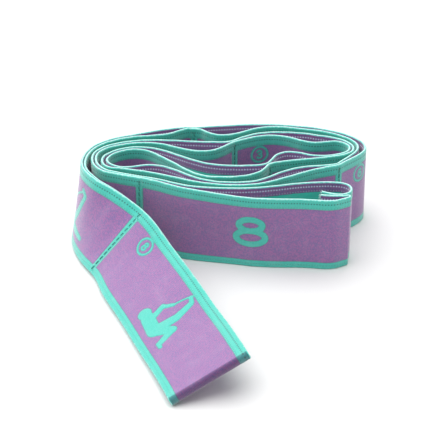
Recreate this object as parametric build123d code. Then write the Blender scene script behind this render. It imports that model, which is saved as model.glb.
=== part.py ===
from build123d import *
import math
import os

# Eight-loop elastic stretching strap, wound into a flat coil that stands on its edge.
# One woven band is folded in half at loop 1 and stitched across at seven places, so each loop has
# two layers: "face" is the layer whose outside carries the small numbers and the exercise drawings,
# "number" is the layer whose outside carries the large number. The band is divided here at its
# stitched seams. Every route runs from loop 8 to loop 1, with the face layer on its right.
# Millimetres, +Z up, the strap's lower edge on Z = 0.

WEB_WIDTH = 40.0
WEB_THICKNESS = 1.3
LAYER_PITCH = 1.36          # centre to centre of two layers stitched together
HINGE_OFFSET = 2.0          # from a seam's stitches to the line where the next loop bends
HINGE_SETBACK = 0.55        # each layer stops this far short of the bend line
LEAN_SETBACK = 0.9          # the same between loops 2 and 1, which bend further
BUTT_GAP = 0.01             # half the parting between two loops at a seam that does not bend
FOLD_HALF_PITCH = 1.5       # centre of the band to each layer at loop 1's end fold
HEM_START = 0.02            # parting between loop 8's layers and their hem allowances

STITCH_COUNT = 12
STITCH_MARGIN = 1.5         # from the band's edges to the first and last stitch
STITCH_WIDTH = 0.8
STITCH_LIFT = 0.08          # thread clear of the webbing that it lies on
LEAN_STITCH_LIFT = 0.52     # the same, where loop 2 curves into its seam
STITCH_LOW = 0.15           # thread height where it dips between two stitches
STITCH_HIGH = 0.45          # thread height at the middle of a stitch

SAMPLE_STEP = 2.5           # most distance between the points where a route's two faces are set out
LEAST_STEPS = 3             # between one point of a route and the next
LEAN_STEPS = 3              # sections from one station of a leaning loop to the next
LEAN_CLEARANCE = 0.25       # the leaning loops' lowest corners stay this far above the floor

# Stitched seams: the place in plan and the heading of the band there, towards loop 1.
SEAMS = {
    "78": ((-40.7, 11.4), 163.5),
    "67": ((4.6, 48.8), 32.0),
    "56": ((21.6, 25.1), 222.0),
    "45": ((-50.4, 21.1), -12.0),
    "34": ((55.7, 24.4), 32.0),
    "23": ((-15.3, 63.3), 184.0),
}

# Where each layer runs between its two seams, in plan.
ROUTES = {
    "loop_8_face": [
        (58.0, -4.9), (60.3, -3.0), (61.0, 0.0), (60.2, 3.0), (57.4, 5.3), (52.0, 6.3),
        (45.0, 6.2), (36.0, 5.0), (25.0, 2.4), (15.5, 0.7), (4.0, 0.2), (-8.4, 1.0), (-17.5, 2.8),
        (-24.0, 5.5), (-30.0, 8.4),
    ],
    "loop_8_number": [
        (56.8, -10.0), (53.6, -11.6), (49.5, -12.1), (43.0, -11.3), (35.5, -10.7), (25.0, -10.5),
        (15.8, -9.8), (2.6, -6.9), (-11.3, -2.4), (-20.5, 1.0), (-27.0, 4.2), (-31.0, 6.4), (-34.6, 8.2),
    ],
    "loop_7_face": [
        (-46.5, 14.1), (-52.0, 16.2), (-57.5, 19.0), (-61.2, 23.5), (-63.1, 29.8), (-62.5, 36.0),
        (-59.3, 40.6), (-53.5, 44.2), (-45.5, 46.8), (-38.0, 47.4), (-31.0, 46.0), (-24.6, 42.8),
        (-18.2, 40.0), (-11.8, 38.4), (-5.5, 39.4), (-0.7, 42.8), (2.7, 46.2),
    ],
    "loop_7_number": [
        (-46.5, 12.6), (-52.0, 14.6), (-58.5, 17.4), (-62.8, 22.5), (-64.9, 29.6), (-64.2, 36.6),
        (-61.0, 41.6), (-55.5, 45.5), (-47.0, 48.8), (-37.5, 50.2), (-28.0, 49.9), (-15.0, 48.7),
        (-6.0, 48.1), (0.0, 48.1),
    ],
    "loop_6_face": [
        (7.6, 49.8), (10.6, 51.5), (16.8, 54.2), (26.4, 55.2), (34.0, 52.7), (39.5, 49.4),
        (45.5, 47.6), (51.0, 48.2), (56.0, 48.9), (60.3, 46.9), (62.5, 43.2), (62.0, 39.5),
        (59.2, 36.4), (55.0, 34.6), (49.6, 33.5), (43.3, 34.2), (37.1, 36.8), (31.0, 37.4),
        (26.2, 34.6), (23.3, 29.2),
    ],
    "loop_6_number": [
        (7.4, 51.9), (10.6, 54.2), (16.8, 57.4), (26.5, 58.8), (38.0, 58.0), (47.5, 55.4),
        (56.2, 52.2), (61.6, 48.4), (64.3, 43.4), (63.6, 38.6), (60.2, 35.2), (54.3, 32.9),
        (46.4, 31.0), (37.0, 29.4), (29.0, 27.5),
    ],
    "loop_5_face": [
        (18.0, 24.0), (10.0, 23.2), (2.7, 23.2), (-5.4, 24.5), (-11.7, 27.0), (-18.0, 30.8),
        (-27.6, 37.5), (-34.0, 41.0), (-41.0, 42.6), (-49.3, 41.4), (-55.7, 37.6), (-59.4, 32.5),
        (-59.9, 27.4), (-57.8, 23.0), (-54.4, 20.9),
    ],
    "loop_5_number": [
        (20.4, 21.4), (17.6, 17.2), (13.1, 14.0), (6.9, 12.1), (-2.4, 11.5), (-8.5, 12.4),
        (-13.1, 14.7), (-17.8, 18.5), (-24.2, 25.6), (-30.6, 32.2), (-35.5, 37.0), (-40.5, 39.8),
        (-46.6, 40.0), (-52.5, 37.4), (-56.2, 33.5), (-57.6, 29.5), (-56.4, 26.0), (-53.6, 23.2),
    ],
    "loop_4_face": [
        (-46.5, 19.4), (-39.4, 17.4), (-33.2, 15.2), (-23.8, 11.3), (-14.5, 7.2), (-5.3, 4.5),
        (2.6, 3.5), (9.0, 3.5), (16.0, 4.6), (22.2, 6.8), (28.4, 10.2), (36.6, 15.0), (42.7, 18.4),
        (49.0, 21.2),
    ],
    "loop_4_number": [
        (-45.8, 21.9), (-40.5, 23.3), (-35.3, 23.9), (-30.0, 22.6), (-24.0, 18.8), (-17.7, 13.9),
        (-11.5, 9.8), (-5.3, 7.3), (2.6, 6.1), (9.5, 6.2), (16.1, 8.0), (22.3, 12.0), (28.6, 16.9),
        (36.8, 21.0), (46.1, 23.1), (51.5, 23.8),
    ],
    "loop_3_face": [
        (58.8, 26.6), (63.5, 31.3), (67.9, 36.1), (70.2, 41.0), (69.9, 46.2), (66.6, 51.8),
        (60.4, 57.2), (51.0, 62.0), (38.2, 65.6), (26.7, 67.2), (17.0, 67.5), (7.0, 66.9),
        (-2.5, 65.8), (-8.9, 64.8),
    ],
    "loop_3_number": [
        (57.8, 27.9), (61.5, 32.4), (64.9, 37.0), (66.6, 41.5), (66.4, 45.8), (64.0, 50.4),
        (59.2, 54.9), (50.3, 59.6), (38.0, 63.0), (30.5, 64.6), (23.5, 64.8), (16.9, 63.3),
        (10.4, 59.8), (4.0, 56.6), (-2.5, 55.8), (-8.4, 58.9), (-12.2, 62.1),
    ],
    "loop_8_face_hem": [(50.5, -4.6)],
    "loop_8_number_hem": [(50.5, -6.9), (54.64, -6.98)],
}

# Loop 8's closing seam, between the layers and the allowances tucked back inside the loop.
CLOSING_SEAM = (54.6, -6.3)
CLOSING_HEADING = 3.0
HEM_ENDS = {"face": ((46.9, -2.9), -26.0), "number": ((46.2, -6.1), -12.0)}

# The tight turn that brings the number layer back from its hem, round the middle of its bend.
CORNER_MIDDLE = (59.0, -7.55)
CORNER_RADIUS = 1.0         # to the middle of the webbing
CORNER_HEADING = 30.0       # the way the bend points

# Loop 2 leaves the coil upright and leans over as it comes forward, and loop 1 lies over further.
# Each station: the band's lower edge, its upper edge, and half the spacing of its two layers.
LOOP_2_STATIONS = [
    ((-21.6, 62.2), (-21.6, 62.2, 40.0), 1.2),
    ((-28.0, 59.4), (-28.0, 59.4, 40.0), 2.5),
    ((-37.0, 56.7), (-37.0, 56.7, 40.0), 2.1),
    ((-47.0, 54.0), (-47.0, 54.0, 40.0), 1.1),
    ((-56.5, 49.9), (-56.2, 49.9, 40.0), 0.9),
    ((-65.5, 42.8), (-64.2, 42.8, 40.0), 0.8),
    ((-71.1, 33.5), (-68.3, 33.2, 40.0), 0.8),
    ((-74.4, 21.5), (-68.2, 21.5, 39.5), 0.75),
    ((-73.3, 9.0), (-61.6, 11.0, 38.2), 0.72),
    ((-69.6, -3.0), (-51.0, 4.0, 34.7), 0.7),
]
SEAM_12 = ((-64.2, -14.2), (-38.0, -6.0, 29.0))
LOOP_1_STATIONS = [
    ((-56.6, -36.0), (-25.8, -25.6, 23.2), 0.7),
    ((-47.6, -58.2), (-15.2, -47.4, 20.8), 0.72),
    ((-37.6, -84.6), (-3.6, -73.8, 18.0), 0.85),
    ((-29.6, -105.0), (4.4, -94.4, 18.0), 1.2),
]
LOOP_1_END = ((-23.6, -122.0), (10.4, -111.8, 17.8))


def heading(angle):
    """Unit vector in plan at an angle in degrees from +X."""
    return Vector(math.cos(math.radians(angle)), math.sin(math.radians(angle)), 0)


def right_of(direction):
    """Unit vector in plan to the right of a direction."""
    return Vector(direction.Y, -direction.X, 0)


def seam_point(seam, side, along):
    """Centre of a layer at a seam: side is +1 for the face layer, and along is the distance past the seam."""
    (x, y), angle = SEAMS[seam]
    ahead = heading(angle)
    return Vector(x, y, 0) + right_of(ahead) * (side * LAYER_PITCH / 2) + ahead * along


def closing_point(side, along):
    """Centre of a layer at loop 8's closing seam, which runs from the hem allowances into the loop."""
    ahead = heading(CLOSING_HEADING)
    x, y = CLOSING_SEAM
    # The band doubles back here, so the number layer lies to the right of the face layer.
    return Vector(x, y, 0) - right_of(ahead) * (side * LAYER_PITCH / 2) + ahead * along


def route_samples(points, start_direction, end_direction, fixed_steps=0):
    """Places and headings along a smooth route: a cubic between each pair of its points."""
    chords = [(b - a).length for a, b in zip(points, points[1:])]
    headings = [start_direction]
    for i in range(1, len(points) - 1):
        before = (points[i] - points[i - 1]) / chords[i - 1]
        after = (points[i + 1] - points[i]) / chords[i]
        headings.append((before * chords[i] + after * chords[i - 1]).normalized())
    headings.append(end_direction)
    samples = []
    for i, chord in enumerate(chords):
        leave, arrive = headings[i] * chord, headings[i + 1] * chord
        step = points[i + 1] - points[i]
        bend = step * 3 - leave * 2 - arrive
        twist = leave + arrive - step * 2
        steps = fixed_steps or max(LEAST_STEPS, math.ceil(chord / SAMPLE_STEP))
        for j in range(steps):
            u = j / steps
            centre = points[i] + leave * u + bend * u**2 + twist * u**3
            samples.append((centre, (leave + bend * (2 * u) + twist * (3 * u**2)).normalized()))
    return [*samples, (points[-1], end_direction)]


def ribbon(points, start_direction, end_direction):
    """Upright webbing along a route in plan: two parallel faces, as wide as the band is."""
    samples = route_samples([Vector(*p) for p in points], start_direction, end_direction)
    near = [centre + right_of(ahead) * (WEB_THICKNESS / 2) for centre, ahead in samples]
    far = [centre - right_of(ahead) * (WEB_THICKNESS / 2) for centre, ahead in samples]
    outline = [Spline(*near), Line(near[-1], far[-1]), Spline(*far), Line(far[0], near[0])]
    return extrude(make_face(outline), WEB_WIDTH)


def stitch_row(plane, base):
    """One thread of a seam across the band, in a plane whose X runs up the band and whose Z runs along it."""
    pitch = (WEB_WIDTH - 2 * STITCH_MARGIN) / STITCH_COUNT
    outline = [(STITCH_MARGIN, base)]
    for i in range(STITCH_COUNT):
        start = STITCH_MARGIN + i * pitch
        outline.append((start, base + STITCH_LOW))
        outline.append((start + 0.3 * pitch, base + STITCH_HIGH))
        outline.append((start + 0.7 * pitch, base + STITCH_HIGH))
    outline.append((WEB_WIDTH - STITCH_MARGIN, base + STITCH_LOW))
    outline.append((WEB_WIDTH - STITCH_MARGIN, base))
    profile = make_face(Polyline(*outline, close=True))
    return extrude(plane * profile, STITCH_WIDTH / 2, both=True)


def seam_threads(origin, ahead, up, base):
    """The two threads of a lockstitched seam: one on the face layer's outside, one on the number layer's."""
    rows = []
    for side in (1, -1):
        outward = ahead.cross(up) * side
        plane = Plane(origin, x_dir=up, z_dir=up.cross(outward))
        rows.append(stitch_row(plane, base))
    return rows


def station_frame(stations, index):
    """Where the band's lower edge is at a station, and which ways are up the band, ahead and out of its face."""
    foot = [Vector(low[0], low[1], 0) for low, _, _ in stations]
    up = [(Vector(*top) - Vector(low[0], low[1], 0)).normalized() for low, top, _ in stations]
    middle = [foot[i] + up[i] * (WEB_WIDTH / 2) for i in range(len(stations))]
    before, after = max(index - 1, 0), min(index + 1, len(stations) - 1)
    ahead = (middle[after] - middle[before]).normalized()
    outward = ahead.cross(up[index]).normalized()
    ahead = up[index].cross(outward)
    rise = (stations[index][2] + WEB_THICKNESS / 2) * abs(outward.Z) + LEAN_CLEARANCE
    return foot[index] + Vector(0, 0, rise), up[index], ahead, outward


def leaning_layer(frames, pitches, side):
    """Webbing through upright or leaning stations, on one side of the band's middle surface."""
    low = [foot + out * (side * pitch) for (foot, _, _, out), pitch in zip(frames, pitches)]
    high = [point + frame[1] * WEB_WIDTH for point, frame in zip(low, frames)]
    ends = (frames[0][2], frames[-1][2])
    level_ends = [Vector(end.X, end.Y, 0).normalized() for end in ends]
    low_samples = route_samples(low, *level_ends, LEAN_STEPS)
    high_samples = route_samples(high, *ends, LEAN_STEPS)
    sections = []
    for (low_point, low_ahead), (high_point, high_ahead) in zip(low_samples, high_samples):
        up = (high_point - low_point).normalized()
        outward = (low_ahead + high_ahead).cross(up).normalized()
        section = Plane((low_point + high_point) / 2, x_dir=up, z_dir=up.cross(outward))
        sections.append(section * Rectangle(WEB_WIDTH, WEB_THICKNESS))
    return loft(sections, ruled=True)


nodes = {}

# Loops 3 to 7 lie between two seams. Hinged neighbours (loops 2 and 8) bend HINGE_OFFSET past their seam.
for loop in range(3, 8):
    start_seam, end_seam = f"{loop}{loop + 1}", f"{loop - 1}{loop}"
    start_along = HINGE_SETBACK - HINGE_OFFSET if loop == 7 else BUTT_GAP
    end_along = HINGE_OFFSET - HINGE_SETBACK if loop == 3 else -BUTT_GAP
    for layer, side in (("face", 1), ("number", -1)):
        name = f"loop_{loop}_{layer}"
        start = seam_point(start_seam, side, start_along)
        end = seam_point(end_seam, side, end_along)
        nodes[name] = ribbon(
            [start, *ROUTES[name], end], heading(SEAMS[start_seam][1]), heading(SEAMS[end_seam][1])
        )

# Loop 8: from its closing seam round to the seam it shares with loop 7, and its two hem allowances.
# The number layer's allowance runs on past the closing seam to the tight turn.
corner = Vector(*CORNER_MIDDLE, 0)
corner_ahead = heading(CORNER_HEADING)
corner_reach = right_of(corner_ahead) * CORNER_RADIUS
closing_ahead = heading(CLOSING_HEADING)
ahead_78 = heading(SEAMS["78"][1])
end_78 = -HINGE_OFFSET - HINGE_SETBACK
nodes["loop_8_face"] = ribbon(
    [closing_point(1, HEM_START), *ROUTES["loop_8_face"], seam_point("78", 1, end_78)],
    closing_ahead,
    ahead_78,
)
nodes["loop_8_number"] = ribbon(
    [corner + corner_reach, *ROUTES["loop_8_number"], seam_point("78", -1, end_78)],
    -corner_ahead,
    ahead_78,
)
hem_starts = {layer: (Vector(*place, 0), heading(angle)) for layer, (place, angle) in HEM_ENDS.items()}
start, ahead = hem_starts["face"]
nodes["loop_8_face_hem"] = ribbon(
    [start, *ROUTES["loop_8_face_hem"], closing_point(1, -HEM_START)], ahead, closing_ahead
)
start, ahead = hem_starts["number"]
nodes["loop_8_number_hem"] = ribbon(
    [start, *ROUTES["loop_8_number_hem"], corner - corner_reach], ahead, corner_ahead
)
bend = Circle(CORNER_RADIUS + WEB_THICKNESS / 2) - Circle(CORNER_RADIUS - WEB_THICKNESS / 2)
bend &= Pos(2 * CORNER_RADIUS, 0) * Rectangle(4 * CORNER_RADIUS, 4 * CORNER_RADIUS)
bend_plane = Plane(corner + corner_ahead * HEM_START, x_dir=corner_ahead, z_dir=Vector(0, 0, 1))
nodes["loop_8_corner_fold"] = extrude(bend_plane * bend, WEB_WIDTH)

# Loops 2 and 1, as stations along one band so that its lean runs on across their seam.
(x_23, y_23), angle_23 = SEAMS["23"]
ahead_23 = heading(angle_23)
start_23 = Vector(x_23, y_23, 0) + ahead_23 * (HINGE_OFFSET + HINGE_SETBACK)
first = ((start_23.X, start_23.Y), (start_23.X, start_23.Y, WEB_WIDTH), LAYER_PITCH / 2)
seam_station = (*SEAM_12, LAYER_PITCH / 2)
end_station = (*LOOP_1_END, FOLD_HALF_PITCH)
stations = [first, *LOOP_2_STATIONS, seam_station, *LOOP_1_STATIONS, end_station]
frames = [station_frame(stations, i) for i in range(len(stations))]
frames[0] = (start_23 + Vector(0, 0, LEAN_CLEARANCE), Vector(0, 0, 1), ahead_23, right_of(ahead_23))
pitches = [s[2] for s in stations]
seam_index = stations.index(seam_station)


def shifted(frame, along):
    """A station's frame moved along the band, no nearer to the floor."""
    foot, up, ahead, outward = frame
    return (foot + Vector(ahead.X, ahead.Y, 0) * along, up, ahead, outward)


seam_frame = frames[seam_index]
before_bend = shifted(seam_frame, HINGE_OFFSET - LEAN_SETBACK)
after_bend = shifted(seam_frame, HINGE_OFFSET + LEAN_SETBACK)
for layer, side in (("face", 1), ("number", -1)):
    nodes[f"loop_2_{layer}"] = leaning_layer(
        [*frames[:seam_index], before_bend], pitches[: seam_index + 1], side
    )
    nodes[f"loop_1_{layer}"] = leaning_layer([after_bend, *frames[seam_index + 1:]], pitches[seam_index:], side)

# The end fold: the band turns back on itself, so this is half a tube as long as the band is wide.
foot, up, ahead, outward = frames[-1]
fold_plane = Plane(foot + ahead * HEM_START, x_dir=outward, z_dir=up)
outer_radius = FOLD_HALF_PITCH + WEB_THICKNESS / 2
ring = Circle(outer_radius) - Circle(outer_radius - WEB_THICKNESS)
half_ring = ring & Pos(0, outer_radius) * Rectangle(2 * outer_radius, 2 * outer_radius)
nodes["loop_1_end_fold"] = extrude(fold_plane * half_ring, WEB_WIDTH)
if abs(fold_plane.y_dir.dot(ahead) - 1) > 1e-6:
    raise ValueError("the end fold opens the wrong way")

# Seam threads, two to each seam.
layer_face = (LAYER_PITCH + WEB_THICKNESS) / 2
for seam, ((x, y), angle) in SEAMS.items():
    ahead_there = heading(angle)
    rows = seam_threads(Vector(x, y, 0), ahead_there, Vector(0, 0, 1), layer_face + STITCH_LIFT)
    nodes[f"seam_{seam}_face_thread"], nodes[f"seam_{seam}_number_thread"] = rows
foot, up, ahead, outward = seam_frame
rows = seam_threads(foot, ahead, up, layer_face + LEAN_STITCH_LIFT)
nodes["seam_12_face_thread"], nodes["seam_12_number_thread"] = rows
x, y = CLOSING_SEAM
rows = seam_threads(Vector(x, y, 0), -closing_ahead, Vector(0, 0, 1), layer_face + STITCH_LIFT)
nodes["closing_seam_face_thread"], nodes["closing_seam_number_thread"] = rows

# The origin is the middle of the footprint, on the surface that the strap stands on.
boxes = [solid.bounding_box() for solid in nodes.values()]
low = [min(getattr(box.min, axis) for box in boxes) for axis in "XYZ"]
high = [max(getattr(box.max, axis) for box in boxes) for axis in "XYZ"]
shift = Vector(-(low[0] + high[0]) / 2, -(low[1] + high[1]) / 2, -low[2])
nodes = {name: Pos(shift) * solid for name, solid in nodes.items()}

os.makedirs("parts", exist_ok=True)
for name, solid in nodes.items():
    export_step(solid, f"parts/{name}.step")
    size = solid.bounding_box().size
    print(f"{name}: {size.X:.1f} x {size.Y:.1f} x {size.Z:.1f} mm, {solid.volume:.0f} mm3")
print(f"{len(nodes)} nodes; shift {shift.X:.3f}, {shift.Y:.3f}, {shift.Z:.3f}")
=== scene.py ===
import math

import bpy
import numpy as np
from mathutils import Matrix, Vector


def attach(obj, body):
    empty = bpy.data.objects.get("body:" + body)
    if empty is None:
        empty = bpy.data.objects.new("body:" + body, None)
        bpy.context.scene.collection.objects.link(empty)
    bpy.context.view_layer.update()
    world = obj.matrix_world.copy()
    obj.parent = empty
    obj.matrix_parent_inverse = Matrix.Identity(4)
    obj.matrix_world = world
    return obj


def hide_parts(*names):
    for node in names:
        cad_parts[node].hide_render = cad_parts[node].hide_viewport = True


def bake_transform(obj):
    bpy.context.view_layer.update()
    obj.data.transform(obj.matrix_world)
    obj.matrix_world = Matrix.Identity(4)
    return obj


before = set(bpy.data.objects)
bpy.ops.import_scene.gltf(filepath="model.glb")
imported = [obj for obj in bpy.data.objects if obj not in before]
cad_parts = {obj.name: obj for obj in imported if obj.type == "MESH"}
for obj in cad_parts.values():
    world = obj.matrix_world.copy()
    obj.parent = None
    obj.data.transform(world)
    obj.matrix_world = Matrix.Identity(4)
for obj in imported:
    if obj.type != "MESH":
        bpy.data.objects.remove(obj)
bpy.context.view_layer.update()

# Looks of the eight-loop stretching strap. The band is modelled as woven ribbons that follow the same
# routes as the CAD solids. Routes are in millimetres in the strap's own plan and are moved by SHIFT.
# Every ribbon's outside is on the right of its path, and its figures read along the path.

MM = 0.001
SHIFT = np.array([2.380, 27.968, 0.0])
WIDTH = 40.0
HALF_THICK = 0.62
CAD_HALF_THICK = 0.65
LAYER_PITCH = 1.36
HINGE_OFFSET = 2.0
HINGE_SETBACK = 0.55
FOLD_HALF_PITCH = 1.5
LEAN_CLEARANCE = 0.25
LEAN_SETBACK = 0.9
PUCKER_PITCH = 3.1
PUCKER_REACH = 4.5
PUCKER_HEIGHT = 0.07
FOLD_SHADE_HALF = 2.1          # half the length of band that the end fold's flat front takes, which is darkened with painted shade
STRIPE_HALF = 1.8           # the woven stripe across the band at each seam, to each side of the stitches
LOW_BORDER = 3.9
HIGH_BORDER = 5.4
STEP = 0.55                 # between stations along a ribbon
PER_SPAN = 24               # steps of a route between two of its points, before it is made even
FOLD_SQUARE = 0.55          # the end fold is pressed, so it is squarer than a half circle
EDGE_RADIUS = 0.5           # how far the rounding of the selvedge reaches across the band
BIG_DIGIT_AT = 20.4         # heights on the band of the middles of its figures
SMALL_DIGIT_AT = 29.6
DRAWING_AT = 19.4
BIG_DIGIT_SIZE = (15.6, 14.2)
BIG_DIGIT_STROKE = 3.3
SMALL_DIGIT_SIZE = (2.6, 4.0)
SMALL_DIGIT_STROKE = 1.15
RING_RADIUS = 4.25
RING_HALF_STROKE = 0.62
FIGURE_LIMIT = 3.0          # distances to a figure's edge are kept within this
# From a seam to the middle of the circled digit beside it, for each loop.
DIGIT_FROM_SEAM = {1: 16.4, 2: 14.5, 3: 15.6, 4: 14.3, 5: 14.3, 6: 14.3, 7: 14.3, 8: 14.5}

SEAMS = {
    "78": ((-40.7, 11.4), 163.5),
    "67": ((4.6, 48.8), 32.0),
    "56": ((21.6, 25.1), 222.0),
    "45": ((-50.4, 21.1), -12.0),
    "34": ((55.7, 24.4), 32.0),
    "23": ((-15.3, 63.3), 184.0),
}
ROUTES = {
    "loop_8_face": [
        (58.0, -4.9), (60.3, -3.0), (61.0, 0.0), (60.2, 3.0), (57.4, 5.3), (52.0, 6.3),
        (45.0, 6.2), (36.0, 5.0), (25.0, 2.4), (15.5, 0.7), (4.0, 0.2), (-8.4, 1.0), (-17.5, 2.8),
        (-24.0, 5.5), (-30.0, 8.4),
    ],
    "loop_8_number": [
        (56.8, -10.0), (53.6, -11.6), (49.5, -12.1), (43.0, -11.3), (35.5, -10.7), (25.0, -10.5),
        (15.8, -9.8), (2.6, -6.9), (-11.3, -2.4), (-20.5, 1.0), (-27.0, 4.2), (-31.0, 6.4), (-34.6, 8.2),
    ],
    "loop_7_face": [
        (-46.5, 14.1), (-52.0, 16.2), (-57.5, 19.0), (-61.2, 23.5), (-63.1, 29.8), (-62.5, 36.0),
        (-59.3, 40.6), (-53.5, 44.2), (-45.5, 46.8), (-38.0, 47.4), (-31.0, 46.0), (-24.6, 42.8),
        (-18.2, 40.0), (-11.8, 38.4), (-5.5, 39.4), (-0.7, 42.8), (2.7, 46.2),
    ],
    "loop_7_number": [
        (-46.5, 12.6), (-52.0, 14.6), (-58.5, 17.4), (-62.8, 22.5), (-64.9, 29.6), (-64.2, 36.6),
        (-61.0, 41.6), (-55.5, 45.5), (-47.0, 48.8), (-37.5, 50.2), (-28.0, 49.9), (-15.0, 48.7),
        (-6.0, 48.1), (0.0, 48.1),
    ],
    "loop_6_face": [
        (7.6, 49.8), (10.6, 51.5), (16.8, 54.2), (26.4, 55.2), (34.0, 52.7), (39.5, 49.4),
        (45.5, 47.6), (51.0, 48.2), (56.0, 48.9), (60.3, 46.9), (62.5, 43.2), (62.0, 39.5),
        (59.2, 36.4), (55.0, 34.6), (49.6, 33.5), (43.3, 34.2), (37.1, 36.8), (31.0, 37.4),
        (26.2, 34.6), (23.3, 29.2),
    ],
    "loop_6_number": [
        (7.4, 51.9), (10.6, 54.2), (16.8, 57.4), (26.5, 58.8), (38.0, 58.0), (47.5, 55.4),
        (56.2, 52.2), (61.6, 48.4), (64.3, 43.4), (63.6, 38.6), (60.2, 35.2), (54.3, 32.9),
        (46.4, 31.0), (37.0, 29.4), (29.0, 27.5),
    ],
    "loop_5_face": [
        (18.0, 24.0), (10.0, 23.2), (2.7, 23.2), (-5.4, 24.5), (-11.7, 27.0), (-18.0, 30.8),
        (-27.6, 37.5), (-34.0, 41.0), (-41.0, 42.6), (-49.3, 41.4), (-55.7, 37.6), (-59.4, 32.5),
        (-59.9, 27.4), (-57.8, 23.0), (-54.4, 20.9),
    ],
    "loop_5_number": [
        (20.4, 21.4), (17.6, 17.2), (13.1, 14.0), (6.9, 12.1), (-2.4, 11.5), (-8.5, 12.4),
        (-13.1, 14.7), (-17.8, 18.5), (-24.2, 25.6), (-30.6, 32.2), (-35.5, 37.0), (-40.5, 39.8),
        (-46.6, 40.0), (-52.5, 37.4), (-56.2, 33.5), (-57.6, 29.5), (-56.4, 26.0), (-53.6, 23.2),
    ],
    "loop_4_face": [
        (-46.5, 19.4), (-39.4, 17.4), (-33.2, 15.2), (-23.8, 11.3), (-14.5, 7.2), (-5.3, 4.5),
        (2.6, 3.5), (9.0, 3.5), (16.0, 4.6), (22.2, 6.8), (28.4, 10.2), (36.6, 15.0), (42.7, 18.4),
        (49.0, 21.2),
    ],
    "loop_4_number": [
        (-45.8, 21.9), (-40.5, 23.3), (-35.3, 23.9), (-30.0, 22.6), (-24.0, 18.8), (-17.7, 13.9),
        (-11.5, 9.8), (-5.3, 7.3), (2.6, 6.1), (9.5, 6.2), (16.1, 8.0), (22.3, 12.0), (28.6, 16.9),
        (36.8, 21.0), (46.1, 23.1), (51.5, 23.8),
    ],
    "loop_3_face": [
        (58.8, 26.6), (63.5, 31.3), (67.9, 36.1), (70.2, 41.0), (69.9, 46.2), (66.6, 51.8),
        (60.4, 57.2), (51.0, 62.0), (38.2, 65.6), (26.7, 67.2), (17.0, 67.5), (7.0, 66.9),
        (-2.5, 65.8), (-8.9, 64.8),
    ],
    "loop_3_number": [
        (57.8, 27.9), (61.5, 32.4), (64.9, 37.0), (66.6, 41.5), (66.4, 45.8), (64.0, 50.4),
        (59.2, 54.9), (50.3, 59.6), (38.0, 63.0), (30.5, 64.6), (23.5, 64.8), (16.9, 63.3),
        (10.4, 59.8), (4.0, 56.6), (-2.5, 55.8), (-8.4, 58.9), (-12.2, 62.1),
    ],
}
CLOSING_SEAM = (54.6, -6.3)
CLOSING_HEADING = 3.0
HEM_ENDS = {"face": ((46.9, -2.9), -26.0), "number": ((46.2, -6.1), -12.0)}
CORNER_MIDDLE = (59.0, -7.55)
CORNER_RADIUS = 1.0
CORNER_HEADING = 30.0
LOOP_2_STATIONS = [
    ((-21.6, 62.2), (-21.6, 62.2, 40.0), 1.2),
    ((-28.0, 59.4), (-28.0, 59.4, 40.0), 2.5),
    ((-37.0, 56.7), (-37.0, 56.7, 40.0), 2.1),
    ((-47.0, 54.0), (-47.0, 54.0, 40.0), 1.1),
    ((-56.5, 49.9), (-56.2, 49.9, 40.0), 0.9),
    ((-65.5, 42.8), (-64.2, 42.8, 40.0), 0.8),
    ((-71.1, 33.5), (-68.3, 33.2, 40.0), 0.8),
    ((-74.4, 21.5), (-68.2, 21.5, 39.5), 0.75),
    ((-73.3, 9.0), (-61.6, 11.0, 38.2), 0.72),
    ((-69.6, -3.0), (-51.0, 4.0, 34.7), 0.7),
]
SEAM_12 = ((-64.2, -14.2), (-38.0, -6.0, 29.0))
LOOP_1_STATIONS = [
    ((-56.6, -36.0), (-25.8, -25.6, 23.2), 0.7),
    ((-47.6, -58.2), (-15.2, -47.4, 20.8), 0.72),
    ((-37.6, -84.6), (-3.6, -73.8, 18.0), 0.85),
    ((-29.6, -105.0), (4.4, -94.4, 18.0), 1.2),
]
LOOP_1_END = ((-23.6, -122.0), (10.4, -111.8, 17.8))
UP = np.array([0.0, 0.0, 1.0])


# ---------------------------------------------------------------- routes

def unit(v):
    v = np.asarray(v, float)
    return v / np.linalg.norm(v, axis=-1, keepdims=True)


def vec(*p):
    """A point or direction in space, from two or three numbers."""
    return np.array([*p, 0.0][:3], float)


def heading(angle):
    return vec(math.cos(math.radians(angle)), math.sin(math.radians(angle)))


def right_of(d):
    return vec(d[1], -d[0])


def seam_point(seam, side, along):
    (x, y), angle = SEAMS[seam]
    ahead = heading(angle)
    return vec(x, y) + right_of(ahead) * (side * LAYER_PITCH / 2) + ahead * along


def closing_point(side, along):
    ahead = heading(CLOSING_HEADING)
    return vec(*CLOSING_SEAM) - right_of(ahead) * (side * LAYER_PITCH / 2) + ahead * along


def smooth(points, start, end, per_span):
    """Points and headings on a cubic between each pair of points, per_span steps to a span."""
    points = [np.asarray(p, float) for p in points]
    chords = [np.linalg.norm(b - a) for a, b in zip(points, points[1:])]
    heads = [start]
    for i in range(1, len(points) - 1):
        before = (points[i] - points[i - 1]) / chords[i - 1]
        after = (points[i + 1] - points[i]) / chords[i]
        heads.append(unit(before * chords[i] + after * chords[i - 1]))
    heads.append(end)
    places, aheads = [], []
    for i, chord in enumerate(chords):
        leave, arrive = heads[i] * chord, heads[i + 1] * chord
        gap = points[i + 1] - points[i]
        bend, twist = gap * 3 - leave * 2 - arrive, leave + arrive - gap * 2
        last = i == len(chords) - 1
        u = np.linspace(0, 1, per_span + 1)[: None if last else -1, None]
        places.append(points[i] + leave * u + bend * u**2 + twist * u**3)
        aheads.append(unit(leave + bend * 2 * u + twist * 3 * u**2))
    return np.concatenate(places), np.concatenate(aheads)


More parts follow.
